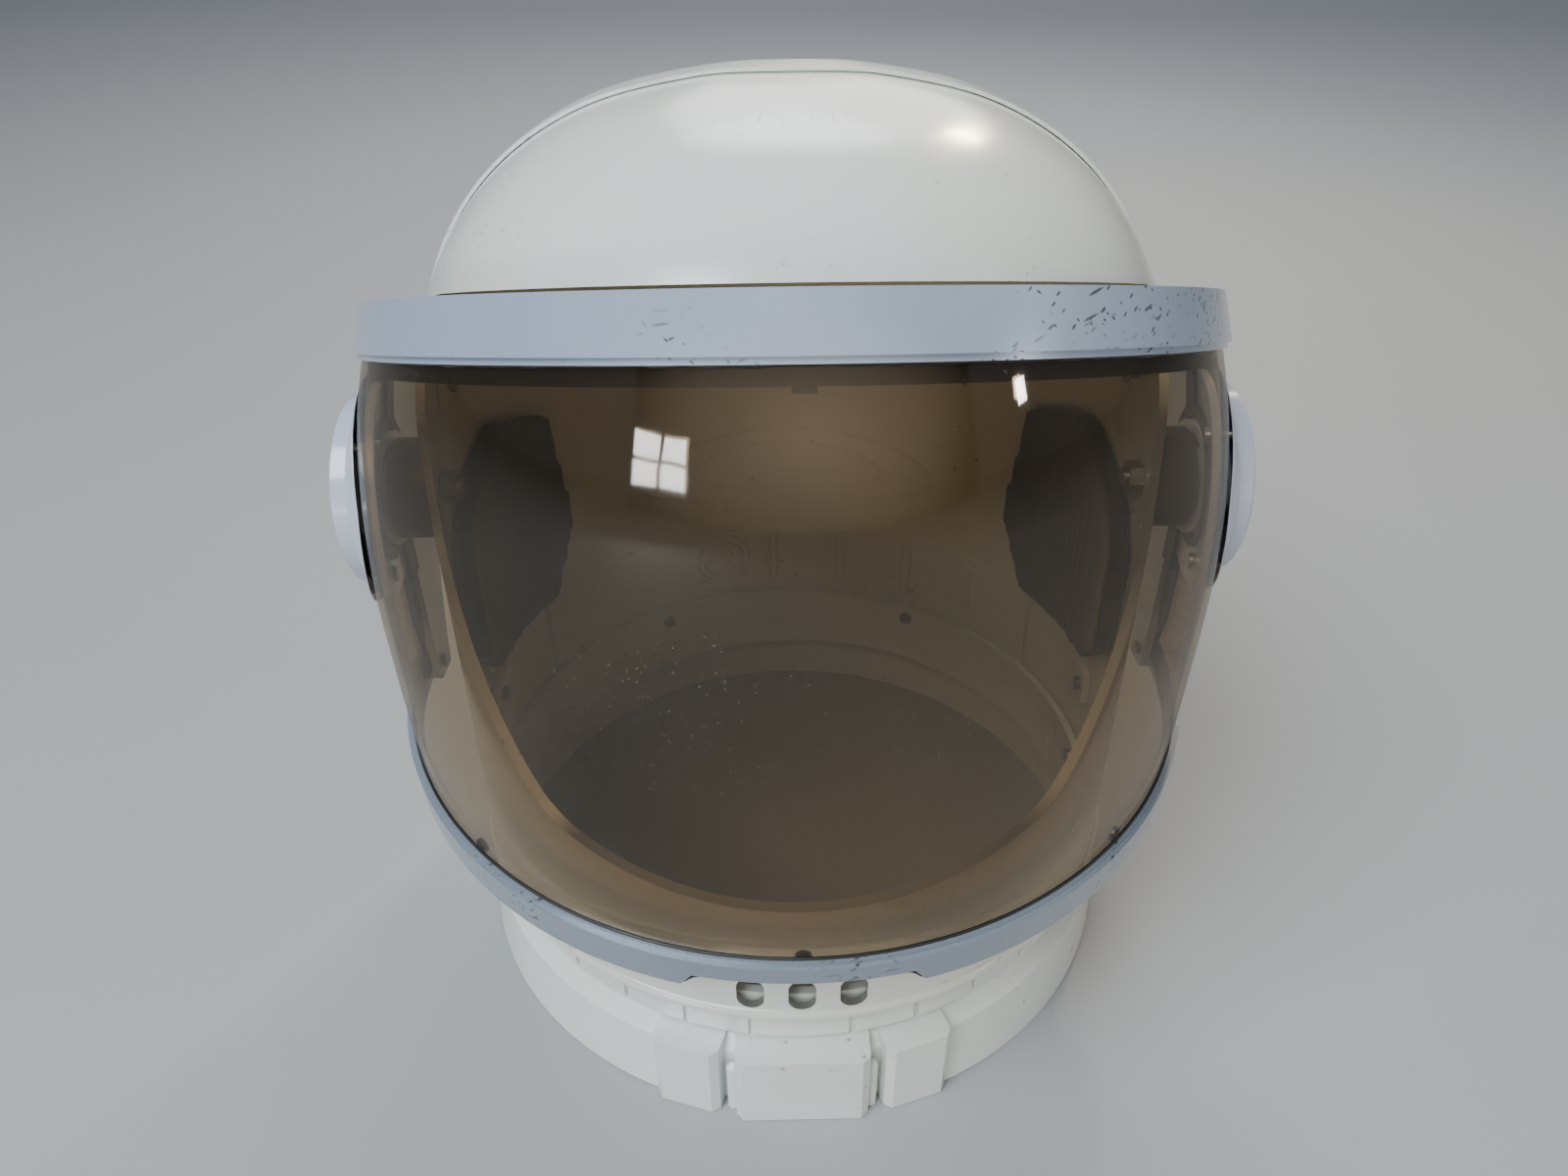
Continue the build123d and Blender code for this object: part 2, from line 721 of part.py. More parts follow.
with BuildPart() as chin_bar:
    add(visor_bar_face)
    split(bisect_by=chin_lip_plane, keep=Keep.BOTTOM)
    split(bisect_by=chin_low_plane, keep=Keep.TOP)
    add(chin_bead.part)
    add(visor_under_bar, mode=Mode.SUBTRACT)
    split(bisect_by=Plane.XZ.offset(-chin_bar_rear), keep=Keep.TOP)
    with BuildSketch(Plane.XZ):
        with BuildLine():
            notch_bottom = chin_bar_high - chin_bar_height
            notch_base = notch_half_width + notch_bevel
            Polyline((-notch_half_width, notch_bottom + notch_depth), (notch_half_width, notch_bottom + notch_depth),
                     (notch_base, notch_bottom), (notch_base, notch_bottom - overrun),
                     (-notch_base, notch_bottom - overrun), (-notch_base, notch_bottom),
                     (-notch_half_width, notch_bottom + notch_depth))
        make_face()
    extrude(amount=reach, mode=Mode.SUBTRACT)
    add(chin_holes, mode=Mode.SUBTRACT)
    add(frame_holes, mode=Mode.SUBTRACT)
chin_bar.part.label = "chin_bar"

# Liner: strip behind the lens under the brow bar, a leg down each side, and a bridge over each side plate
with BuildPart() as disc_space:
    with BuildSketch(side_plane(-reach)):
        Circle(plate_disc_radius + fit_gap)
    extrude(amount=2 * reach)
    add(bridge_face, mode=Mode.SUBTRACT)

with BuildPart() as liner_bridge:
    leg_middle = (liner_leg_front + liner_leg_rear) / 2 - pivot_depth
    with BuildSketch(side_plane(-reach)):
        with Locations((leg_middle, 0)):
            Rectangle(liner_leg_rear - liner_leg_front, 2 * bridge_half_height)
        Circle(bridge_ring_radius)
        Circle(bridge_inner_radius, mode=Mode.SUBTRACT)
    extrude(amount=2 * reach)
    add(visor_plate_face, mode=Mode.INTERSECT)
    add(bridge_back, mode=Mode.SUBTRACT)
    add(disc_space.part, mode=Mode.SUBTRACT)

with BuildPart() as visor_liner:
    with BuildSketch(Plane.YZ):
        with BuildLine():
            leg_tip = ((liner_leg_front + liner_leg_rear) / 2, liner_foot_height)
            FilletPolyline((-reach, brow_height(-reach) + brow_bar_height - liner_margin),
                           (liner_leg_rear, brow_height(liner_leg_rear) + brow_bar_height - liner_margin),
                           (liner_leg_rear, liner_tip_height), leg_tip, (liner_leg_front, liner_tip_height),
                           (liner_leg_front, brow_height(liner_leg_front) - liner_drop),
                           (-reach, brow_height(-reach) - liner_drop),
                           radius=(0, 0, 0, 0, 0, liner_corner_radius, 0), close=True)
        make_face()
    extrude(amount=reach, both=True)
    with BuildSketch(Plane.XZ):
        with Locations((0, brow_bar_low - liner_drop)):
            Rectangle(liner_nib_width, 2 * liner_nib_height)
    extrude(amount=reach)
    add(visor_plate_face, mode=Mode.INTERSECT)
    with BuildSketch(side_plane(-reach)):
        Circle(plate_disc_radius + fit_gap)
    extrude(amount=2 * reach, mode=Mode.SUBTRACT)
    add(liner_back, mode=Mode.SUBTRACT)
    add(liner_bridge.part)
    add(brow_holes, mode=Mode.SUBTRACT)
visor_liner.part.label = "visor_liner"

# Side plates: tie the bars together behind the lens, and carry the disc and hub that turn on the bush
stop_arc = CenterArc((0, 0), stop_radius, stop_pin_angle, visor_lift_angle)
with BuildPart() as plate_disc:
    with BuildSketch(side_plane(0)):
        Circle(plate_disc_radius)
    extrude(amount=reach)
    add(visor_plate_face, mode=Mode.INTERSECT)

with BuildPart() as side_plate_left:
    plate_front = lens_rear + fit_gap
    plate_low = chin_height(0) - chin_bar_height + plate_margin
    plate_high = brow_height(plate_end_rear) + brow_bar_height - plate_margin
    with BuildSketch(Plane.YZ):
        with BuildLine():
            FilletPolyline((plate_front, plate_low), (plate_end_rear, plate_low), (plate_knee_rear, pivot_height),
                           (plate_end_rear, plate_high), (plate_front, plate_high),
                           radius=(0, 0, plate_knee_radius, 0, 0), close=True)
        make_face()
    extrude(amount=reach)
    add(visor_outer, mode=Mode.INTERSECT)
    with BuildSketch(side_plane(0)):
        Circle(plate_disc_radius)
    extrude(amount=reach, mode=Mode.SUBTRACT)
    add(plate_disc.part)
    add(visor_plate_back, mode=Mode.SUBTRACT)
    with BuildSketch(side_plane(hub_inner)):
        Circle(hub_radius)
    extrude(amount=hub_outer - hub_inner)
    with BuildSketch(side_plane(hub_inner - overrun)):
        Circle(spigot_radius + spigot_running_gap)
        SlotArc(stop_arc, 2 * (stop_pin_radius + stop_slot_gap))
    extrude(amount=hub_outer - hub_inner + 2 * overrun, mode=Mode.SUBTRACT)
    add(frame_holes, mode=Mode.SUBTRACT)
    add(pod_holes, mode=Mode.SUBTRACT)
side_plate_left.part.label = "side_plate_left"

with BuildPart() as side_plate_right:
    add(mirror(side_plate_left.part, about=Plane.YZ))
side_plate_right.part.label = "side_plate_right"

# Pod bases: stepped rings over the discs, their inner sides cut to the lens and the disc
with BuildPart() as pod_rim_space:
    with BuildSketch(side_plane(0)):
        Circle(pod_radius + overrun)
        Circle(pod_seat_radius, mode=Mode.SUBTRACT)
    extrude(amount=reach)
    add(visor_under_bar, mode=Mode.INTERSECT)

with BuildPart() as pod_base_left:
    with BuildSketch(side_plane(0)):
        Circle(pod_radius)
    extrude(amount=pod_step_height)
    with BuildSketch(side_plane(pod_step_height)):
        Circle(pod_step_radius)
    extrude(amount=pod_base_face - pod_step_height)
    add(pod_seat, mode=Mode.SUBTRACT)
    add(pod_rim_space.part, mode=Mode.SUBTRACT)
    with BuildSketch(side_plane(0)):
        Circle(pod_bore_radius)
    extrude(amount=pod_base_face, mode=Mode.SUBTRACT)
    add(pod_holes, mode=Mode.SUBTRACT)
pod_base_left.part.label = "pod_base_left"

with BuildPart() as pod_base_right:
    add(mirror(pod_base_left.part, about=Plane.YZ))
pod_base_right.part.label = "pod_base_right"

# Pod caps: stepped covers with a spigot in the bore of the base
cap_back = pod_base_face + fit_gap
cap_ceiling = pod_cap_face - pod_cap_wall
spigot_outer = pod_bore_radius - fit_gap
with BuildPart() as pod_cap_left:
    with BuildSketch(side_plane(cap_back)):
        Circle(pod_cap_radius)
    extrude(amount=pod_cap_step_height - cap_back)
    with BuildSketch(side_plane(pod_cap_step_height)):
        Circle(pod_cap_step_radius)
    extrude(amount=pod_cap_face - pod_cap_step_height)
    fillet(pod_cap_left.faces().sort_by(Axis.X)[-1].edges(), radius=pod_cap_edge)
    with BuildSketch(side_plane(cap_back)):
        Circle(pod_cap_step_radius - pod_cap_wall)
    extrude(amount=cap_ceiling - cap_back, mode=Mode.SUBTRACT)
    with BuildSketch(side_plane(cap_ceiling)):
        Circle(spigot_outer)
        Circle(spigot_outer - pod_spigot_wall, mode=Mode.SUBTRACT)
    extrude(amount=pod_base_face - pod_spigot_depth - cap_ceiling)
pod_cap_left.part.label = "pod_cap_left"

with BuildPart() as pod_cap_right:
    add(mirror(pod_cap_left.part, about=Plane.YZ))
pod_cap_right.part.label = "pod_cap_right"

# Screws of the visor
with BuildPart() as lens_screws:
    add(screws(brow_seats, brow_screw_length))
    add(screws(chin_seats, chin_screw_length))
lens_screws.part.label = "lens_screws"

frame_screws = screws(frame_seats, frame_screw_length)
frame_screws.label = "frame_screws"

with BuildPart() as pod_screws:
    add(screws(pod_seats, pod_screw_length))
    mirror(about=Plane.YZ)
pod_screws.part.label = "pod_screws"

pieces = [front_shell.part, rear_shell.part, neck_ring.part, temple_pad_left.part, temple_pad_right.part,
          pivot_bush_left.part, pivot_bush_right.part, pivot_bolts.part, pivot_nuts.part, pivot_washers.part,
          friction_washers.part, ring_screws, seam_screws, visor_lens.part, brow_bar.part, chin_bar.part,
          visor_liner.part, side_plate_left.part, side_plate_right.part, pod_base_left.part, pod_base_right.part,
          pod_cap_left.part, pod_cap_right.part, lens_screws.part, frame_screws, pod_screws.part]
for piece in pieces:
    export_step(piece, f"parts/{piece.label}.step")
    box = piece.bounding_box()
    print(piece.label, len(piece.solids()), round(piece.volume), [round(v, 1) for v in (*box.min, *box.max)])
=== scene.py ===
# %% [markdown]
# Astronaut helmet with a lift-up visor
#
# The imported CAD model is the frame: every shell, bar and fixing already has its real place and size there.
# This script gives each piece the finish that the real helmet shows, with painted shade on the shell's narrow
# rims and on the chin bar. It adds the raised shapes of the back wall, the turned ear pods, the black seals,
# a black line of painted shade under the chin bar and dark pads of painted shade at the temples, and sets up
# the floor, the light and the camera.

# %% Load the frame
import math

import bmesh
import bpy
from mathutils import Matrix, Vector


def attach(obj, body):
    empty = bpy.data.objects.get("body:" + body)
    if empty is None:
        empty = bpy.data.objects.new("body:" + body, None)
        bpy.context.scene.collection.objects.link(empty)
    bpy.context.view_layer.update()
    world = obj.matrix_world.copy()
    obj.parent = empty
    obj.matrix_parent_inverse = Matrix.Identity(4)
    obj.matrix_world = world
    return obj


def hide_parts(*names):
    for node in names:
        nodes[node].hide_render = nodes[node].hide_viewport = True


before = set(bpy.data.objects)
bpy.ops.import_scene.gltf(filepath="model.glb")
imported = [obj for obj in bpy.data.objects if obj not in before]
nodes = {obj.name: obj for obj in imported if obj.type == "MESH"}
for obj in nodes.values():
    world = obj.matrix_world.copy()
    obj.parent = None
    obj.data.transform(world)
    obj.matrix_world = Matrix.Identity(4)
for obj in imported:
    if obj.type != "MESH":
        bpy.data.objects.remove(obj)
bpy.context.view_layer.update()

# %% [markdown]
# The CAD export is faceted. Turning on smooth shading and keeping only the real corners sharp lets the
# gloss run round the shell as it does on a moulded part. No vertex moves, so the frame stays as it was.

# %% Smooth shading with real corners kept
corner_angle = math.radians(32)


def shade(mesh):
    """Smooth shading, with edges sharper than a corner kept."""
    for face in mesh.polygons:
        face.use_smooth = True
    mesh.set_sharp_from_angle(angle=corner_angle)


for piece in nodes.values():
    shade(piece.data)
print("faces in the frame:", sum(len(piece.data.polygons) for piece in nodes.values()))

# %% [markdown]
# A few pieces are made here and not in the CAD model, some as meshes built point by point, some as curves.
# Two small helpers bring them into the scene.


# %% Helpers for the pieces made here
def added(name, data):
    """A new object with this data, in the scene."""
    piece = bpy.data.objects.new(name, data)
    bpy.context.scene.collection.objects.link(piece)
    return piece


def modelled(name, mesh, material):
    """A new object from a mesh that was built point by point, smooth and with its material."""
    data = bpy.data.meshes.new(name)
    mesh.to_mesh(data)
    mesh.free()
    shade(data)
    data.materials.append(material)
    print(name, "faces:", len(data.polygons))
    return added(name, data)


# %% [markdown]
# Every finish here is procedural: noise in the piece's own coordinates gives cloudy colour, fine
# scratches and specks. Painted image textures could do the same, but they need unwrapped surfaces and
# have one fixed sharpness. Two small classes keep the node wiring readable, with one method for each
# idea that a finish needs. The first only sets nodes and links them.


# %% Wiring of a finish
class Wiring:
    """A material whose nodes are placed by short calls."""

    def __init__(self, name):
        self.material = bpy.data.materials.new(name)
        self.material.use_nodes = True
        self.tree = self.material.node_tree
        self.surface = self.tree.nodes["Principled BSDF"]
        self.output = self.tree.nodes["Material Output"]
        self.place = self.add("ShaderNodeTexCoord").outputs["Object"]

    def add(self, kind, **settings):
        """A new node with its settings."""
        node = self.tree.nodes.new(kind)
        for key, value in settings.items():
            setattr(node, key, value)
        return node

    def join(self, source, target):
        """A link from an output to an input."""
        self.tree.links.new(source, target)

    def maths(self, operation, first, second):
        """One operation on two values, each a number or an output."""
        node = self.add("ShaderNodeMath", operation=operation)
        for value, socket in ((first, node.inputs[0]), (second, node.inputs[1])):
            if isinstance(value, (int, float)):
                socket.default_value = value
            else:
                self.join(value, socket)
        return node.outputs[0]

    def ramp(self, value, low, high, start=0.0, end=1.0):
        """Maps value from low..high to start..end, and holds it there."""
        node = self.add("ShaderNodeMapRange", clamp=True)
        for key, number in (("From Min", low), ("From Max", high), ("To Min", start), ("To Max", end)):
            node.inputs[key].default_value = number
        self.join(value, node.inputs["Value"])
        return node.outputs["Result"]

    def any_of(self, *masks):
        """The strongest of several masks."""
        strongest = masks[0]
        for mask in masks[1:]:
            strongest = self.maths("MAXIMUM", strongest, mask)
        return strongest

    def blend(self, share, first, second):
        """Colour between first and second."""
        node = self.add("ShaderNodeMix", data_type="RGBA")
        self.join(share, node.inputs["Factor"])
        for value, socket in ((first, node.inputs[6]), (second, node.inputs[7])):
            if isinstance(value, tuple):
                socket.default_value = (*value, 1)
            else:
                self.join(value, socket)
        return node.outputs[2]

    def bump(self, height, strength, distance):
        """A fine unevenness of the surface, distance deep in metres."""
        node = self.add("ShaderNodeBump")
        node.inputs["Strength"].default_value = strength
        node.inputs["Distance"].default_value = distance
        self.join(height, node.inputs["Height"])
        self.join(node.outputs["Normal"], self.surface.inputs["Normal"])

    def set(self, **values):
        """Sets sockets of the surface: numbers and colours directly, anything else by a link."""
        for key, value in values.items():
            socket = self.surface.inputs[key.replace("_", " ")]
            if isinstance(value, bpy.types.NodeSocket):
                self.join(value, socket)
            elif isinstance(value, tuple):
                socket.default_value = (*value, 1)
            else:
                socket.default_value = value


# %% [markdown]
# The second class adds the patterns. A scratch comes from a Voronoi pattern whose cells are stretched
# long: only the core of each cell shows, so scratches stay apart and end, where a line drawn by noise
# runs on and on.

# %% Patterns of a finish
wall_reach = 0.14
sway_scale = 25
stroke_core = 0.6


class Finish(Wiring):
    """A material with cloudy, speckled and scratched patterns."""

    def noise(self, scale, detail, place=None, distortion=0.0):
        """Soft random values from 0 to 1."""
        node = self.add("ShaderNodeTexNoise")
        node.inputs["Scale"].default_value = scale
        node.inputs["Detail"].default_value = detail
        node.inputs["Distortion"].default_value = distortion
        self.join(place or self.place, node.inputs["Vector"])
        return node.outputs["Fac"]

    def cells(self, scale, place=None):
        """Distance from the middle of the nearest of many random cells."""
        node = self.add("ShaderNodeTexVoronoi")
        node.inputs["Scale"].default_value = scale
        self.join(place or self.place, node.inputs["Vector"])
        return node.outputs["Distance"]

    def lines(self, noise, width):
        """Thin lines where a noise crosses its middle value."""
        off_middle = self.maths("ABSOLUTE", self.maths("SUBTRACT", noise, 0.5), 0)
        return self.ramp(off_middle, 0, width, 1, 0)

    def stretched(self, size, slant=0, place=None):
        """Coordinates slanted by degrees and then divided by size, so that spots come out as streaks."""
        mapping = self.add("ShaderNodeMapping", vector_type="TEXTURE")
        mapping.inputs["Rotation"].default_value = (0, math.radians(slant), 0)
        mapping.inputs["Scale"].default_value = size
        self.join(place or self.place, mapping.inputs["Vector"])
        return mapping.outputs["Vector"]

    def wrapped(self):
        """Coordinates unrolled round the upright axis, so that streaks lie along a round wall: the way
        round, the distance from the part's origin, and the height."""
        apart = self.add("ShaderNodeSeparateXYZ")
        self.join(self.place, apart.inputs[0])
        across, depth, height = apart.outputs
        turn = self.maths("ARCTAN2", across, self.maths("MULTIPLY", depth, -1))
        round_way = self.maths("MULTIPLY", turn, wall_reach)
        reach = self.add("ShaderNodeVectorMath", operation="LENGTH")
        self.join(self.place, reach.inputs[0])
        together = self.add("ShaderNodeCombineXYZ")
        for source, target in zip((round_way, reach.outputs["Value"], height), together.inputs):
            self.join(source, target)
        return together.outputs[0]

    def swaying(self, scale, reach):
        """Unrolled coordinates pushed about slowly by reach in metres, so that streaks bend."""
        push = self.add("ShaderNodeTexNoise")
        push.inputs["Scale"].default_value = scale
        self.join(self.place, push.inputs["Vector"])
        mix = self.add("ShaderNodeVectorMath", operation="MULTIPLY_ADD")
        self.join(push.outputs["Color"], mix.inputs[0])
        mix.inputs[1].default_value = (reach, 0, reach)
        self.join(self.wrapped(), mix.inputs[2])
        return mix.outputs["Vector"]

    def strokes(self, spacing, length, slant, share, sway=0.010):
        """Separate thin scratches, one in each long cell of that spacing and length in metres. A scratch
        is as slim and short as share of its cell, and slant leans it by degrees from upright."""
        place = self.stretched((spacing, spacing, length), slant, self.swaying(sway_scale, sway))
        return self.ramp(self.cells(1, place), share * stroke_core, share, 1, 0)


# %% Giving a finish to CAD pieces
def paint(material, *names):
    """Gives a material to CAD nodes."""
    for name in names:
        slots = nodes[name].data.materials
        slots.clear()
        slots.append(material)
    print(material.name, "on", ", ".join(names))


# %% [markdown]
# The shell is white glossy plastic that has yellowed a little: the white is faintly green-grey, with
# cloudy cream patches, hairline scratches from handling and a few dark specks. A clear coat over the
# plastic gives two kinds of gloss at once, as on a polished moulding. Each kind of scratch is given by
# the spacing and the length of its cells, its slant, and the share of a cell that shows.
#
# The narrow faces of the wall, round the face opening and in the vents, are painted dark: this is painted
# shade, so that the cut faces don't show lit. A mask finds them by their normal, which points neither
# outwards nor inwards, unlike that of the broad faces. It ends below the crown, whose broad faces look up.

# %% White moulded shell
shell_clean = (0.77, 0.82, 0.80)
shell_cloudy = (0.77, 0.78, 0.70)
ring_clean = (0.76, 0.82, 0.81)
ring_cloudy = (0.76, 0.78, 0.73)
scratch_grey = (0.42, 0.40, 0.37)
speck_brown = (0.20, 0.17, 0.13)
# colour of the painted shade on the narrow faces of the wall
rim_painted_shade = (0.09, 0.09, 0.085)
shade_rim_facing = (0.30, 0.55)
shade_rim_top = (0.225, 0.240)
hair_strokes = ((0.0022, 0.070, 65, 0.16), (0.0020, 0.050, 20, 0.15), (0.0024, 0.080, -50, 0.14))


def opening_rim_shade(finish):
    """Where the painted shade goes: 1 on the narrow faces of the wall round the face opening and in the
    vents, 0 on its broad faces.
    """
    level = finish.add("ShaderNodeVectorMath", operation="MULTIPLY")
    finish.join(finish.place, level.inputs[0])
    level.inputs[1].default_value = (1, 1, 0)
    outward = finish.add("ShaderNodeVectorMath", operation="NORMALIZE")
    finish.join(level.outputs["Vector"], outward.inputs[0])
    facing = finish.add("ShaderNodeVectorMath", operation="DOT_PRODUCT")
    finish.join(finish.add("ShaderNodeTexCoord").outputs["Normal"], facing.inputs[0])
    finish.join(outward.outputs["Vector"], facing.inputs[1])
    narrow = finish.ramp(finish.maths("ABSOLUTE", facing.outputs["Value"], 0), *shade_rim_facing, 1, 0)
    height = finish.add("ShaderNodeSeparateXYZ")
    finish.join(finish.place, height.inputs[0])
    return finish.maths("MULTIPLY", narrow, finish.ramp(height.outputs[2], *shade_rim_top, 1, 0))


def white_plastic(name, clean, cloudy, scratch_share, rim=None):
    """White plastic between a clean and a cloudy white, with its scratches that strong, and painted shade
    where the rim mask finds narrow faces.
    """
    finish = Finish(name)
    clouds = finish.ramp(finish.noise(9, 4), 0.35, 0.70)
    colour = finish.blend(clouds, clean, cloudy)
    patches = finish.ramp(finish.noise(14, 2), 0.50, 0.62)
    hairs = finish.any_of(*(finish.strokes(*kind) for kind in hair_strokes))
    hairs = finish.maths("MULTIPLY", hairs, patches)
    colour = finish.blend(finish.maths("MULTIPLY", hairs, scratch_share), colour, scratch_grey)
    specks = finish.maths("MULTIPLY", finish.ramp(finish.cells(120), 0.07, 0.12, 1, 0),
                          finish.ramp(finish.noise(26, 1), 0.58, 0.62))
    colour = finish.blend(finish.maths("MULTIPLY", specks, 0.6), colour, speck_brown)
    if rim:
        # painted shade on the narrow faces round the face opening and in the vents
        colour = finish.blend(finish.maths("MULTIPLY", rim(finish), 0.85), colour, rim_painted_shade)
    worn = finish.maths("ADD", finish.ramp(finish.noise(30, 5), 0.3, 0.7, 0.17, 0.28),
                        finish.maths("MULTIPLY", hairs, 0.25))
    finish.set(Base_Color=colour, Roughness=worn, Coat_Weight=0.40, Coat_Roughness=0.14)
    finish.bump(finish.noise(60, 3), 0.05, 0.0006)
    return finish.material


shell_white = white_plastic("shell_white", shell_clean, shell_cloudy, 0.9, opening_rim_shade)
ring_white = white_plastic("ring_white", ring_clean, ring_cloudy, 0.6)
shell_back = white_plastic("shell_back", shell_clean, shell_cloudy, 0.9)
paint(shell_white, "front_shell")
paint(shell_back, "rear_shell")
paint(ring_white, "neck_ring")

# %% [markdown]
# Through the lens the inner face of the back wall shows the shapes that stand out on its outer side: an
# oval in two steps, a belt, upright ribs and a round boss. Bump in the material could fake them, but it
# has no edge that catches the light or hides what lies behind it. So a thin skin on the inner wall carries
# them as geometry. It is a grid over turn and height, and only its faces that stand proud are kept.

# %% The shapes of the back wall in numbers
wall_radius = 0.12402
relief_turn = math.radians(62)
relief_low = 0.056
relief_high = 0.150
relief_across = 300
relief_up = 118
relief_sink = 0.0002
oval_height = 0.128
oval_half_width = 0.068
oval_half_height = 0.019
oval_step_share = 0.66
oval_step = 0.0014
belt_middle = 0.077
belt_half_height = 0.0185
belt_step = 0.0011
rib_half_height = 0.014
rib_half_width = 0.002
rib_step = 0.0018
rib_turns = (-3.0, 12.8, 28.6, 44.4)
boss_turn = math.radians(-15)
boss_height = 0.078
boss_ring_radius = 0.0115
boss_ring_half_width = 0.0017


def stands_proud(turn, height):
    """How far the inner wall stands in at a turn and height."""
    across = wall_radius * math.sin(turn)
    oval = math.hypot(across / oval_half_width, (height - oval_height) / oval_half_height)
    proud = oval_step * ((oval < 1) + (oval < oval_step_share))
    if abs(height - belt_middle) < belt_half_height:
        proud = belt_step
    for rib_turn in rib_turns:
        off = abs(turn - math.radians(rib_turn)) * wall_radius
        if off < rib_half_width and abs(height - belt_middle) < rib_half_height:
            proud = belt_step + rib_step
    from_boss = math.hypot((turn - boss_turn) * wall_radius, height - boss_height)
    if abs(from_boss - boss_ring_radius) < boss_ring_half_width:
        proud = belt_step + rib_step
    return proud


# %% Relief inside the back wall
def back_relief():
    """The skin on the inner wall. Points beside a raised shape sink into the wall, so that it has no gap
    at its foot."""
    mesh = bmesh.new()
    grid = []
    for row in range(relief_up + 1):
        height = relief_low + (relief_high - relief_low) * row / relief_up
        line = []
        for column in range(relief_across + 1):
            turn = relief_turn * (2 * column / relief_across - 1)
            proud = stands_proud(turn, height)
            radius = wall_radius - proud if proud else wall_radius + relief_sink
            point = mesh.verts.new((radius * math.sin(turn), radius * math.cos(turn), height))
            line.append((point, proud))
        grid.append(line)
    for line, above in zip(grid, grid[1:]):
        for near, far, near_up, far_up in zip(line, line[1:], above, above[1:]):
            if max(near[1], far[1], near_up[1], far_up[1]) > 0:
                mesh.faces.new((near[0], far[0], far_up[0], near_up[0]))
    bmesh.ops.delete(mesh, geom=[point for point in mesh.verts if not point.link_faces], context="VERTS")
    bmesh.ops.recalc_face_normals(mesh, faces=mesh.faces)
    if sum(face.normal.y for face in mesh.faces) > 0:
        bmesh.ops.reverse_faces(mesh, faces=mesh.faces)
    piece = modelled("back_relief", mesh, shell_back)
    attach(piece, "helmet")


back_relief()

# %% [markdown]
# The two bars are painted a pearly blue-grey: a little metal in the surface and a clear coat give the pearl.
# The chin bar's copy of the paint is darker, which is painted shade, as that bar faces down. The paint is
# scratched in clusters of short dark strokes, more of them on the brow bar, where hands lift the visor. A
# slow noise says where a cluster is, and the strokes show only there.

# %% Pearl bars
stroke_dark = (0.05, 0.045, 0.04)
brow_clean = (0.36, 0.44, 0.57)
brow_cloudy = (0.42, 0.50, 0.63)
# the chin bar has the same paint as the brow bar; its darker colours are painted shade, as it faces down
chin_shaded_clean = (0.24, 0.29, 0.36)
chin_shaded_cloudy = (0.29, 0.34, 0.41)
brow_clusters = 0.48
chin_clusters = 0.60
cluster_edge = 0.05
paint_strokes = ((0.0024, 0.044, 50, 0.22), (0.0022, 0.050, -38, 0.20), (0.0028, 0.040, 72, 0.18))


def pearl_paint(name, clean, cloudy, cluster_start):
    """Pearl paint, scratched wherever a noise is above cluster_start."""
    finish = Finish(name)
    clouds = finish.ramp(finish.noise(11, 4), 0.3, 0.7)
    colour = finish.blend(clouds, clean, cloudy)
    clusters = finish.ramp(finish.noise(16, 2), cluster_start, cluster_start + cluster_edge)
    marks = finish.any_of(*(finish.strokes(*kind) for kind in paint_strokes))
    marks = finish.maths("MULTIPLY", marks, clusters)
    colour = finish.blend(finish.maths("MULTIPLY", marks, 0.85), colour, stroke_dark)
    rough = finish.ramp(finish.noise(35, 4), 0.3, 0.7, 0.20, 0.32)
    finish.set(Base_Color=colour, Roughness=rough, Metallic=0.25, Coat_Weight=0.5, Coat_Roughness=0.10)
    relief = finish.maths("SUBTRACT", finish.noise(70, 2), finish.maths("MULTIPLY", marks, 0.2))
    finish.bump(relief, 0.10, 0.0004)
    return finish.material


paint(pearl_paint("pearl_brow", brow_clean, brow_cloudy, brow_clusters), "brow_bar")
# painted shade: a darker copy of the pearl paint for the chin bar
paint(pearl_paint("pearl_chin_shaded", chin_shaded_clean, chin_shaded_cloudy, chin_clusters), "chin_bar")

# %% [markdown]
# The ear pods and the plates under them are plain glossy plastic with a lilac tint, cleaner than the
# bars because little rubs on them.

# %% Lilac plastic of the ear pods and side plates
lilac_clean = (0.47, 0.52, 0.64)
lilac_cloudy = (0.53, 0.57, 0.68)
lilac_scratch = (0.35, 0.35, 0.38)


def lilac_plastic(name):
    """Lilac plastic with a few fine hairs."""
    finish = Finish(name)
    clouds = finish.ramp(finish.noise(16, 4), 0.3, 0.7)
    colour = finish.blend(clouds, lilac_clean, lilac_cloudy)
    hairs = finish.maths("MULTIPLY", finish.lines(finish.noise(90, 2, distortion=0.5), 0.006),
                         finish.ramp(finish.noise(22, 1), 0.52, 0.62))
    colour = finish.blend(finish.maths("MULTIPLY", hairs, 0.25), colour, lilac_scratch)
    finish.set(Base_Color=colour, Roughness=finish.ramp(finish.noise(40, 3), 0.3, 0.7, 0.16, 0.26),
               Coat_Weight=0.4, Coat_Roughness=0.06)
    finish.bump(finish.noise(80, 2), 0.05, 0.0004)
    return finish.material


lilac = lilac_plastic("lilac_pod")
paint(lilac, "side_plate_left", "side_plate_right")

# %% [markdown]
# The ear pods are turned forms: a foot that lies on the visor, a sloping band, a waist and a shallow domed
# cap with two grooves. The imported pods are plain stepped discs, so these stand for them. A Screw modifier
# could turn the outline too, but every step round the pod needs a foot of its own, because the visor under
# it is curved. Rays cast at the visor's pieces say how high the foot lies there.

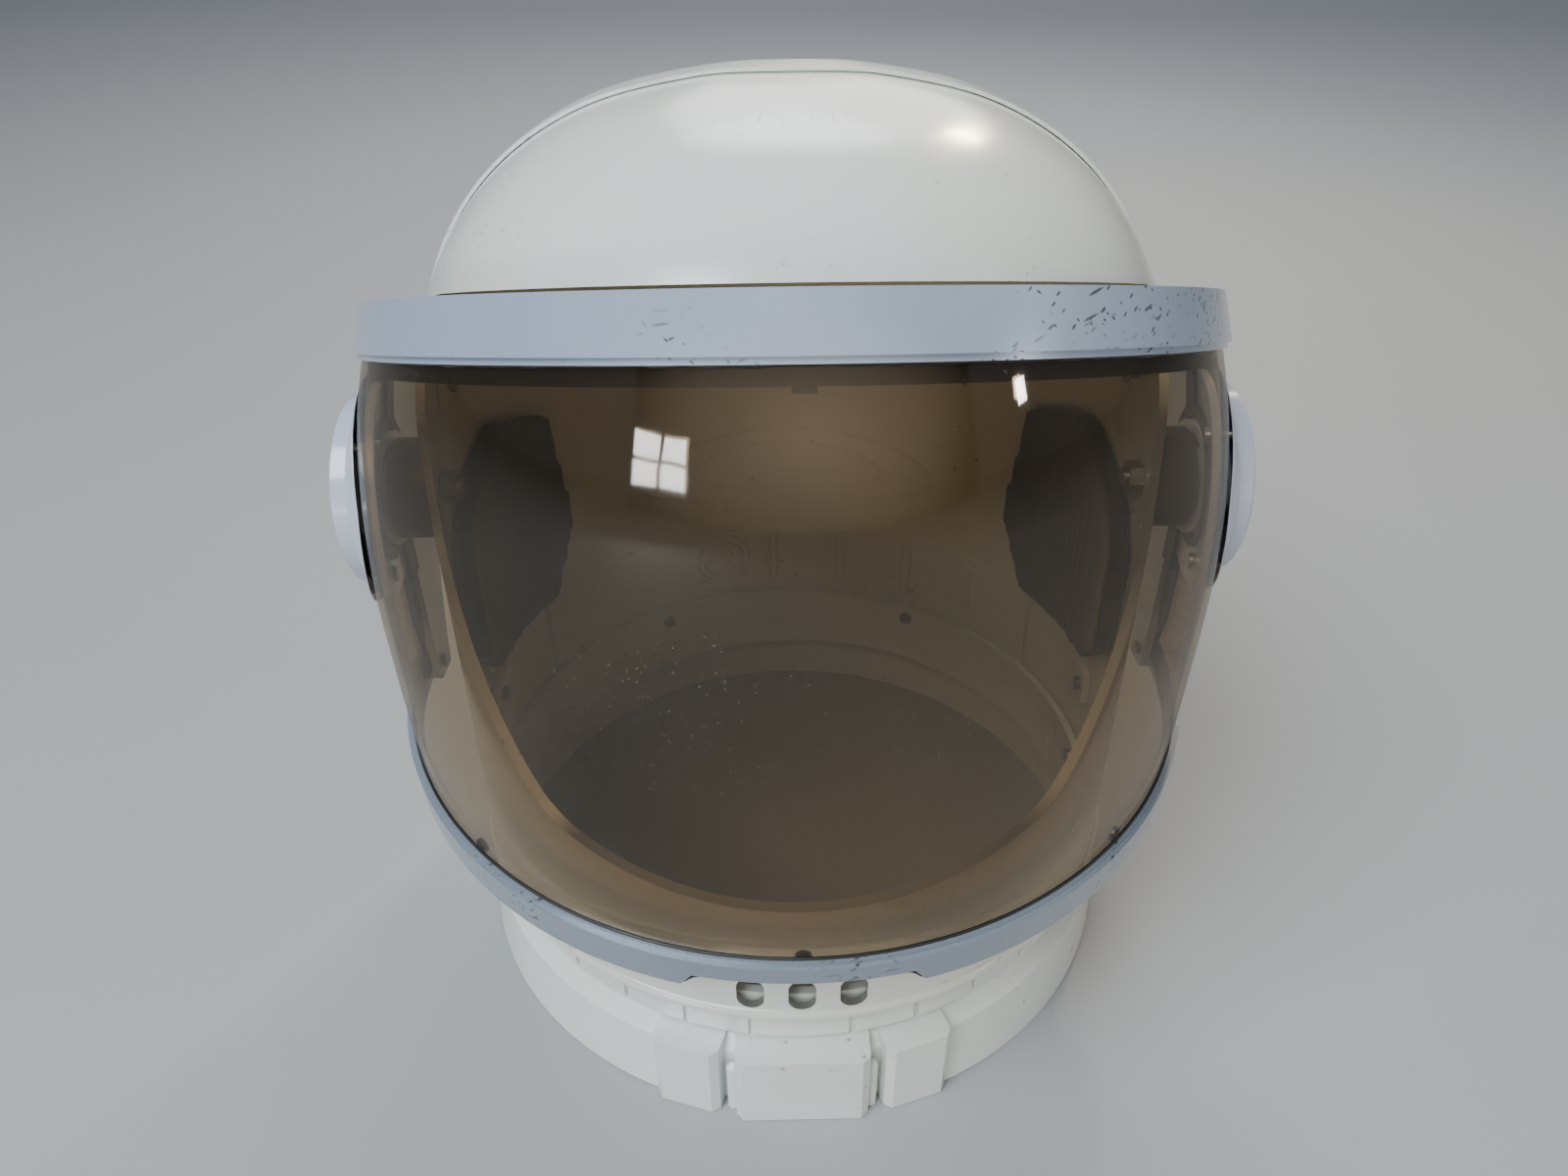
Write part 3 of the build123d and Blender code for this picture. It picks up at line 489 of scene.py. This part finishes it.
# %% The ear pods in numbers
pivot_depth = -0.015
pivot_height = 0.196
pod_foot_radius = 0.0395
pod_waist_radius = 0.0325
pod_base_face = 0.149
pod_profile = ((pod_foot_radius, 0.1390), (0.0369, 0.1414), (0.0363, 0.1424), (0.0340, 0.1440),
               (pod_waist_radius, 0.1448), (pod_waist_radius, pod_base_face))
pod_cap_radius = 0.0310
pod_cap_rim = 0.0011
pod_cap_face = 0.1575
pod_groove_radii = (0.0205, 0.0275)
pod_groove_half_width = 0.0009
pod_groove_depth = 0.0009
pod_gap_width = 0.0004
pod_gap_depth = 0.0007
pod_steps = 128
pod_dome_steps = 72
foot_probes = (pod_foot_radius, 0.038, 0.0365)
foot_evening = 3
foot_sink = 0.0003
foot_rise = 0.0003
foot_margin = 0.0002
ray_start = 0.3


def visor_face(side, across, up):
    """Distance of the visor's outer face from the middle, at a place beside the pivot."""
    start = Vector((side * ray_start, pivot_depth + across, pivot_height + up))
    lands = [0.0]
    for name in ("visor_lens", "brow_bar", "side_plate_left" if side > 0 else "side_plate_right"):
        met, place, _, _ = nodes[name].ray_cast(start, Vector((-side, 0, 0)))
        if met:
            lands.append(place.x * side)
    return max(lands)


def foot_line(side):
    """Where the foot lies on the visor, step by step round the pod, evened out over some steps."""
    found = []
    for step in range(pod_steps):
        turn = 2 * math.pi * step / pod_steps
        found.append(max(visor_face(side, radius * math.cos(turn), radius * math.sin(turn))
                         for radius in foot_probes))
    beside = range(-foot_evening, foot_evening + 1)
    highest = [max(found[(step + near) % pod_steps] for near in beside) for step in range(pod_steps)]
    return [sum(highest[(step + near) % pod_steps] for near in beside) / len(beside)
            for step in range(pod_steps)]


# %% Turned ear pods
def cap_height(radius):
    """Distance of the cap's face from the middle, with its grooves."""
    rise = pod_cap_face - pod_base_face - pod_cap_rim
    curve = (pod_cap_radius ** 2 + rise ** 2) / (2 * rise)
    height = pod_cap_face - curve + math.sqrt(curve ** 2 - radius ** 2)
    for groove in pod_groove_radii:
        off = abs(radius - groove) / pod_groove_half_width
        height -= pod_groove_depth * max(0, 1 - off ** 2)
    return height


def pod_outline(lies):
    """Radius and height of every point from the foot to the middle of the cap, for a foot that lies there."""
    outline = [(pod_foot_radius, min(lies, pod_base_face) - foot_sink)]
    for place, (radius, height) in enumerate(pod_profile):
        outline.append((radius, max(height, min(lies + foot_rise * place, pod_base_face - foot_margin))))
    outline += [(pod_cap_radius + pod_gap_width, pod_base_face),
                (pod_cap_radius + pod_gap_width, pod_base_face - pod_gap_depth),
                (pod_cap_radius, pod_base_face - pod_gap_depth)]
    for share in range(pod_dome_steps):
        radius = pod_cap_radius * (1 - share / pod_dome_steps)
        outline.append((radius, cap_height(radius)))
    return outline


def ear_pod(side, word):
    """One pod, on the side where x has that sign."""
    mesh = bmesh.new()
    rows = []
    for step, lies in enumerate(foot_line(side)):
        turn = 2 * math.pi * step / pod_steps
        rows.append([mesh.verts.new((side * height, pivot_depth + radius * math.cos(turn),
                                     pivot_height + radius * math.sin(turn)))
                     for radius, height in pod_outline(lies)])
    top = mesh.verts.new((side * cap_height(0), pivot_depth, pivot_height))
    for row, following in zip(rows, rows[1:] + rows[:1]):
        for place in range(len(row) - 1):
            mesh.faces.new((row[place], following[place], following[place + 1], row[place + 1]))
        mesh.faces.new((row[-1], following[-1], top))
    bmesh.ops.recalc_face_normals(mesh, faces=mesh.faces)
    if top.link_faces[0].normal.x * side < 0:
        bmesh.ops.reverse_faces(mesh, faces=mesh.faces)
    pod = modelled("ear_pod_" + word, mesh, lilac)
    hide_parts("pod_base_" + word, "pod_cap_" + word)
    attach(pod, "visor")


ear_pod(1, "left")
ear_pod(-1, "right")

# %% [markdown]
# A thin black line runs between each bar and the lens, as of a soft seal. One more along the lower edge of
# the chin bar is painted shade: it stands for the shadow in the gap below the bar. A curve with a round
# section is the simplest form for a thin line. Its place is found on the visor: rays cast inwards find the
# edge of the bar, and the line lies on the face beside it.

# %% Finding the edge of a bar
edge_steps = 160
ray_reach = 0.25


def level_ray(name, outward, height):
    """Whether a level ray from outside meets a piece at that height, and where."""
    start = outward * ray_start + Vector((0, 0, height))
    met, place, _, _ = nodes[name].ray_cast(start, -outward, distance=ray_reach)
    return met, place


def bar_edge(bar, outward, start, end):
    """First height on the way from start to end at which a ray meets the bar."""
    for share in range(edge_steps):
        height = start + (end - start) * share / edge_steps
        if level_ray(bar, outward, height)[0]:
            break
    return height


# %% Seals along the bars, and a line of painted shade under the chin bar
line_radius = 0.0006
line_offset = 0.0004
line_points = 81
# black of the seals, and painted shade in the line under the chin bar
seal_and_shade_dark = (0.010, 0.011, 0.012)
seal_and_shade_pale = (0.022, 0.023, 0.024)


def black_seal_and_shade():
    """Black for the soft seals, and painted shade in the line under the chin bar."""
    finish = Finish("seal_and_shade_black")
    finish.set(Base_Color=finish.blend(finish.noise(50, 2), seal_and_shade_dark, seal_and_shade_pale),
               Roughness=finish.ramp(finish.noise(80, 2), 0.3, 0.7, 0.35, 0.5))
    return finish.material


def dark_line(name, bar, reach, start, end, on_bar=False):
    """Black line along a bar's edge, out to reach degrees each side. The edge is sought from start to end in
    height. The line lies on the lens just short of the edge, or on the edge itself, sunk into the bar, where
    it is painted shade of the gap below the bar."""
    ground = bar if on_bar else "visor_lens"
    short = 0 if on_bar else math.copysign(line_offset, start - end)
    sink = line_radius if on_bar else 0
    points = []
    for step in range(line_points):
        turn = math.radians(reach * (2 * step / (line_points - 1) - 1))
        outward = Vector((math.sin(turn), -math.cos(turn), 0))
        met, place = level_ray(ground, outward, bar_edge(bar, outward, start, end) + short)
        if met:
            points.append(place - outward * sink)
    curve = bpy.data.curves.new(name, "CURVE")
    curve.dimensions = "3D"
    curve.bevel_depth = line_radius
    line = curve.splines.new("NURBS")
    line.points.add(len(points) - 1)
    for point, place in zip(line.points, points):
        point.co = (*place, 1)
    line.order_u = 3
    line.use_endpoint_u = True
    curve.materials.append(seal_and_shade_black)
    piece = added(name, curve)
    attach(piece, "visor")
    print(name, "points:", len(points))


seal_and_shade_black = black_seal_and_shade()
dark_line("chin_seal", "chin_bar", 84, 0.125, 0.085)
dark_line("brow_seal", "brow_bar", 60, 0.230, 0.310)
# painted shade: a black line for the shadow in the gap below the chin bar
dark_line("chin_edge_shade", "chin_bar", 80, 0.070, 0.110, on_bar=True)

# %% [markdown]
# The lens is a thin clear sheet tinted smoke-brown. A Transparent shader with that tint lets the lamps
# reach the inside, where a Glass shader would cast a dark shadow. Gloss on top grows towards grazing
# angles as it does on any clear plastic, which gives the mirrored windows and the pale sheen where the
# sheet turns away. A faint film of haze and long fine scratches show handling.

# %% Smoke lens
tint_of_one_face = (0.65, 0.570, 0.465)
haze_brown = (0.46, 0.41, 0.34)
mark_dark = (0.13, 0.12, 0.11)
mark_sway = 0.004
mark_strength = 0.5
mark_strokes = ((0.0030, 0.120, 14, 0.10), (0.0026, 0.070, -32, 0.10))
gloss_face_on = 0.045
gloss_edge_on = 0.50
gloss_power = 5


def smoke_sheet():
    """Tinted clear sheet with a dusty film and a gloss that grows as the sheet turns away."""
    finish = Finish("smoke_lens")
    clear = finish.add("ShaderNodeBsdfTransparent")
    clear.inputs["Color"].default_value = (*tint_of_one_face, 1)
    haze = finish.ramp(finish.noise(12, 3), 0.40, 0.75, 0.016, 0.036)
    long_marks = finish.any_of(*(finish.strokes(*kind, mark_sway) for kind in mark_strokes))
    long_marks = finish.maths("MULTIPLY", long_marks, finish.ramp(finish.noise(10, 1), 0.54, 0.58))
    film = finish.maths("ADD", haze, finish.maths("MULTIPLY", long_marks, mark_strength))
    finish.set(Base_Color=finish.blend(long_marks, haze_brown, mark_dark), Roughness=0.5)
    dusty = finish.add("ShaderNodeMixShader")
    finish.join(film, dusty.inputs[0])
    finish.join(clear.outputs[0], dusty.inputs[1])
    finish.join(finish.surface.outputs[0], dusty.inputs[2])
    turned_away = finish.add("ShaderNodeLayerWeight")
    turned_away.inputs["Blend"].default_value = 0.5
    grazing = finish.maths("POWER", turned_away.outputs["Facing"], gloss_power)
    share = finish.maths("ADD", finish.maths("MULTIPLY", grazing, gloss_edge_on), gloss_face_on)
    gloss = finish.add("ShaderNodeBsdfGlossy")
    finish.join(finish.ramp(finish.noise(18, 3), 0.35, 0.70, 0.02, 0.07), gloss.inputs["Roughness"])
    top = finish.add("ShaderNodeMixShader")
    finish.join(share, top.inputs[0])
    finish.join(dusty.outputs[0], top.inputs[1])
    finish.join(gloss.outputs[0], top.inputs[2])
    finish.join(top.outputs[0], finish.output.inputs["Surface"])
    return finish.material


paint(smoke_sheet(), "visor_lens")

# %% [markdown]
# The liner is matt black, the bushes dark plastic and the fasteners plain steel. They show only as dark
# shapes behind the lens, or not at all while the visor is down, but each still gets a finish of its own.


# %% Black liner, bushes, washers and steel
def dark_plastic(name, colour, paler, rough):
    """Plain plastic between two colours, with a fine grain."""
    finish = Finish(name)
    finish.set(Base_Color=finish.blend(finish.ramp(finish.noise(45, 4), 0.35, 0.7), colour, paler),
               Roughness=finish.ramp(finish.noise(70, 3), 0.3, 0.7, rough, rough + 0.15))
    finish.bump(finish.noise(260, 2), 0.15, 0.0003)
    return finish.material


def plain_steel():
    """Steel with fine streaks from turning."""
    finish = Finish("plain_steel")
    streaks = finish.stretched((1, 0.08, 1))
    finish.set(Base_Color=finish.blend(finish.noise(60, 3), (0.30, 0.30, 0.31), (0.45, 0.45, 0.46)),
               Roughness=finish.ramp(finish.noise(90, 3, streaks), 0.3, 0.7, 0.28, 0.45), Metallic=1.0)
    finish.bump(finish.noise(200, 2, streaks), 0.1, 0.0002)
    return finish.material


paint(dark_plastic("liner_black", (0.010, 0.010, 0.010), (0.025, 0.024, 0.023), 0.42), "visor_liner")
paint(dark_plastic("bush_dark", (0.045, 0.042, 0.040), (0.070, 0.066, 0.062), 0.40),
      "pivot_bush_left", "pivot_bush_right")
paint(dark_plastic("washer_pale", (0.50, 0.49, 0.46), (0.58, 0.57, 0.53), 0.35), "friction_washers")
paint(plain_steel(), "pivot_bolts", "pivot_nuts", "pivot_washers", "ring_screws", "seam_screws",
      "lens_screws", "frame_screws", "pod_screws")

# %% [markdown]
# The temple pads are dark pieces that stand for shade on the inner wall, where the side plates outside keep
# the light from coming through the shell; their near-black cloth colour is painted shade. Each is grown from
# the CAD pad: the block is meshed anew with small even faces and smoothed, so that its corners and edges go
# round while it keeps its thickness. A cloth simulation suits softer pads, which bulge and wrinkle.

# %% Temple pads of painted shade
# painted shade: near-black colours of the temple pads
pad_shade_pale = (0.046, 0.042, 0.036)
pad_shade_dark = (0.022, 0.020, 0.018)
pad_face = 0.0016
pad_smoothing = 0.5
pad_smoothing_rounds = 10


def shade_pad_finish():
    """Dark woven cloth, whose near-black colour is painted shade."""
    finish = Finish("shade_pad_cloth")
    weave = finish.add("ShaderNodeTexWave")
    weave.inputs["Scale"].default_value = 420
    weave.inputs["Distortion"].default_value = 1.5
    finish.join(finish.place, weave.inputs["Vector"])
    finish.set(Base_Color=finish.blend(finish.ramp(finish.noise(40, 4), 0.35, 0.70), pad_shade_dark, pad_shade_pale),
               Roughness=0.85, Sheen_Weight=0.3)
    finish.bump(finish.maths("ADD", weave.outputs["Fac"], finish.noise(300, 3)), 0.25, 0.0004)
    return finish.material


shade_pad_cloth = shade_pad_finish()
# the dark pads stand for shade on the inner wall at the temples
for side in ("left", "right"):
    solid = nodes["temple_pad_" + side]
    dark_pad = added("shade_pad_" + side, solid.data.copy())
    dark_pad.matrix_world = solid.matrix_world.copy()
    dark_pad.data.materials.clear()
    dark_pad.data.materials.append(shade_pad_cloth)
    remesh = dark_pad.modifiers.new("even faces", "REMESH")
    remesh.mode = "VOXEL"
    remesh.voxel_size = pad_face
    remesh.use_smooth_shade = True
    smooth = dark_pad.modifiers.new("round edges", "SMOOTH")
    smooth.factor = pad_smoothing
    smooth.iterations = pad_smoothing_rounds
    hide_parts(solid.name)
    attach(dark_pad, "helmet")
    print(dark_pad.name, "stands for", solid.name)

# %% [markdown]
# The helmet stands on a plain grey floor, so large that the photograph's camera sees no edge of it.

# %% Floor
floor_size = 8.0
floor_drop = 0.0004
floor_grey = (0.36, 0.375, 0.395)
floor_pale = (0.38, 0.395, 0.415)
bpy.ops.mesh.primitive_plane_add(size=floor_size, location=(0, 0, -floor_drop))
floor = bpy.context.object
floor.name = "floor"
floor_finish = Finish("pale_floor")
floor_finish.set(Base_Color=floor_finish.blend(floor_finish.noise(3, 3), floor_grey, floor_pale),
                 Roughness=0.75)
floor.data.materials.append(floor_finish.material)
print("floor in metres:", floor_size)

# %% [markdown]
# One large round lamp high on the left gives most of the light. Weaker ones fill in from the right and
# from behind, and one lights the floor behind the helmet. Large lamps give the soft shadows of a room,
# where a Sun lamp would draw hard ones.

# %% Large soft lamps
middle = (0, 0, 0.16)
large = 1.2


def lamp(name, place, aim, size, power, colour, shape="SQUARE"):
    """A flat lamp of that size in metres and power in watts, which points at a spot."""
    light = bpy.data.lights.new(name, "AREA")
    light.shape = shape
    light.size = size
    light.energy = power
    light.color = colour
    holder = added(name, light)
    holder.visible_camera = False
    holder.location = place
    holder.rotation_mode = "QUATERNION"
    holder.rotation_quaternion = (Vector(aim) - Vector(place)).to_track_quat("-Z", "Y")
    print(name, "lamp, watts:", power)
    return holder


lamp("key", (-0.75, -0.90, 1.75), middle, large, 44, (0.91, 0.97, 1.0), "DISK")
lamp("fill", (1.4, -0.5, 1.2), middle, large, 4, (1.0, 0.95, 0.88), "DISK")
lamp("rear", (0.2, 1.5, 1.2), middle, large, 10, (1.0, 0.98, 0.96), "DISK")
lamp("far floor", (0, 2.6, 2.6), (0, 2.6, 0), 1.6, 26, (0.96, 0.98, 1.0), "DISK")

# %% [markdown]
# The photograph's lens has a broad warm haze with no edge. A lamp always has an edge when it is mirrored,
# so a card glows instead, and its glow fades out to nothing before its rim. A small warm lamp behind the
# helmet gives the yellow glint high on the crown.

# %% Soft card and warm glint
card_place = (0.1, -2.1, 0.50)
card_half_width = 1.9
card_half_height = 0.8
card_glow = 2.0
card_colour = (1.0, 0.85, 0.68)
glint_spot = (0.047, -0.039, 0.318)


def soft_card():
    """A faint glow that fades out to nothing at its edge."""
    finish = Finish("card_glow")
    fade = finish.add("ShaderNodeTexGradient", gradient_type="SPHERICAL")
    finish.join(finish.place, fade.inputs["Vector"])
    glow = finish.add("ShaderNodeEmission")
    glow.inputs["Color"].default_value = (*card_colour, 1)
    finish.join(finish.ramp(fade.outputs["Fac"], 0, 1, 0, card_glow), glow.inputs["Strength"])
    finish.join(glow.outputs[0], finish.output.inputs["Surface"])
    bpy.ops.mesh.primitive_plane_add(size=2)
    card = bpy.context.object
    card.name = "soft card"
    card.location = card_place
    card.rotation_euler = (math.radians(90), 0, 0)
    card.scale = (card_half_width, card_half_height, 1)
    card.data.materials.append(finish.material)
    card.visible_camera = False


soft_card()
lamp("warm", (0.56, 1.06, 1.01), glint_spot, 0.12, 6.0, (1.0, 0.80, 0.50))

# %% [markdown]
# The lens mirrors two windows of the room: one level with it to the left front, in four panes, and a
# small one to the right. Each pane is an area lamp, so it lights the helmet a little too.

# %% Window panes mirrored in the lens
pane_size = 0.085
pane_gap = 0.012
pane_power = 1.3
window_aim = (-0.034, -0.134, 0.268)
window_middle = Vector((-0.86, -1.34, 0.30))
across = Vector((window_middle.y, -window_middle.x, 0)).normalized()
offset = (pane_size + pane_gap) / 2
for column in (-1, 1):
    for row in (-1, 1):
        spot = window_middle + across * column * offset * 2 + Vector((0, 0, row * offset))
        pane = lamp("pane", spot, window_aim, 2 * pane_size, pane_power, (0.95, 0.98, 1.0), "RECTANGLE")
        pane.data.size_y = pane_size
lamp("small window", (1.24, -0.85, 0.39), (0.051, -0.124, 0.280), 0.06, 1.2, (1.0, 0.97, 0.92))

# %% [markdown]
# Light that bounces off the walls of a room comes from everywhere. A weak, slightly blue world stands for
# it and keeps the shadows open.

# %% Even light of the room
room_colour = (0.80, 0.86, 0.95)
room_strength = 0.185
world = bpy.data.worlds.new("studio")
world.use_nodes = True
world.node_tree.nodes["Background"].inputs["Color"].default_value = (*room_colour, 1)
world.node_tree.nodes["Background"].inputs["Strength"].default_value = room_strength
bpy.context.scene.world = world
print("room light:", room_strength)

# %% [markdown]
# The camera stands where the photograph's did: in front, above, and close, at about arm's length. Its
# place and turn come from a fit of the ring, the visor and the crown, and its lens is a phone's main
# lens. Cross products make the three directions of its turn exactly square to each other. The AgX view
# lets bright spots on the white shell fade softly towards white.

# %% Camera
sensor_width = 36
focal_length = 27
camera_place = (-0.0085, -0.3757, 0.3989)
camera_data = bpy.data.cameras.new("camera")
camera_data.sensor_width = sensor_width
camera_data.lens = focal_length
camera = added("camera", camera_data)
right = Vector((0.9998, -0.0188, -0.0070))
forward = Vector((0.0116, 0.8240, -0.5665)).normalized()
up = right.cross(forward).normalized()
right = forward.cross(up)
turned = Matrix((right, up, -forward)).transposed().to_4x4()
camera.matrix_world = Matrix.Translation(camera_place) @ turned
bpy.context.scene.camera = camera
bpy.context.scene.view_settings.view_transform = "AgX"
print("camera at:", camera_place)
